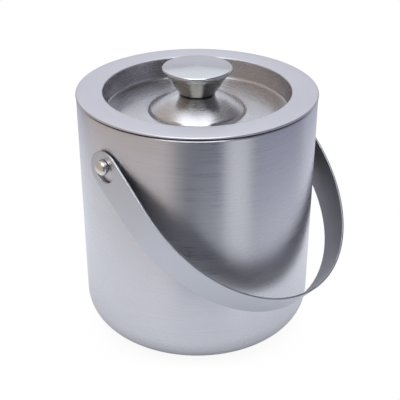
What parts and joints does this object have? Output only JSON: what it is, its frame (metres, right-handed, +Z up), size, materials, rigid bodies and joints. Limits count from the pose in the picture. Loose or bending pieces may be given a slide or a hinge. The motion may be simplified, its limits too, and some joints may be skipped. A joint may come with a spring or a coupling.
{
  "type": "ice bucket",
  "caption": "Cylindrical double-walled brushed-steel ice bucket with a sunken lift-off lid, a flared knob and a flat strip handle that swings on side studs.",
  "frame": {"origin": "centre of the flat base, where it rests", "axes": "+Z up the bucket's axis, X along the handle's pivots, and the handle hangs towards -Y"},
  "size_m": [0.1584, 0.1694, 0.1691],
  "materials": {
    "brushed_shell": "fine horizontal brushed grain, satin",
    "brushed_lid": "circular brushed grain, satin",
    "brushed_strip": "grain along the strip, satin, bright edges",
    "satin_knob": "spun satin with a bright rim",
    "satin_stud": "turned, half polished",
    "satin_liner": "smooth satin",
    "plain_steel": "plain machined steel",
    "zinc_plate": "dull zinc plate",
    "white_foam": "closed-cell foam",
    "grey_nylon": "moulded nylon",
    "black_rubber": "matt silicone rubber"
  },
  "bodies": {
    "bucket": {"outer_shell": "brushed_shell", "inner_liner": "satin_liner", "rim_spacer_ring": "grey_nylon", "wall_insulation": "white_foam", "base_insulation": "white_foam", "pivot_stud_left": "satin_stud", "backing_plate_left": "zinc_plate", "lock_washer_left": "plain_steel", "stud_nut_left": "plain_steel", "pivot_stud_right": "satin_stud", "backing_plate_right": "zinc_plate", "lock_washer_right": "plain_steel", "stud_nut_right": "plain_steel"},
    "handle": {"handle_strip": "brushed_strip"},
    "lid": {"lid_top_pan": "brushed_lid", "lid_bottom_pan": "satin_liner", "lid_insulation": "white_foam", "lid_gasket": "black_rubber", "knob_body": "satin_knob", "knob_cap": "satin_knob", "knob_seat_washer": "black_rubber", "knob_nut": "plain_steel", "knob_screw": "plain_steel", "knob_screw_washer": "plain_steel"}
  },
  "joints": [
    {"name": "handle_swing", "type": "hinge", "parent": "bucket", "child": "handle", "pos_m": [0, 0, 0.12485], "axis": [-1, 0, 0], "range_deg": [-6.2, 267.2]},
    {"name": "lid_lift", "type": "slide", "parent": "bucket", "child": "lid", "axis": [0, 0, 1], "range_m": [0, 0.045]}
  ]
}
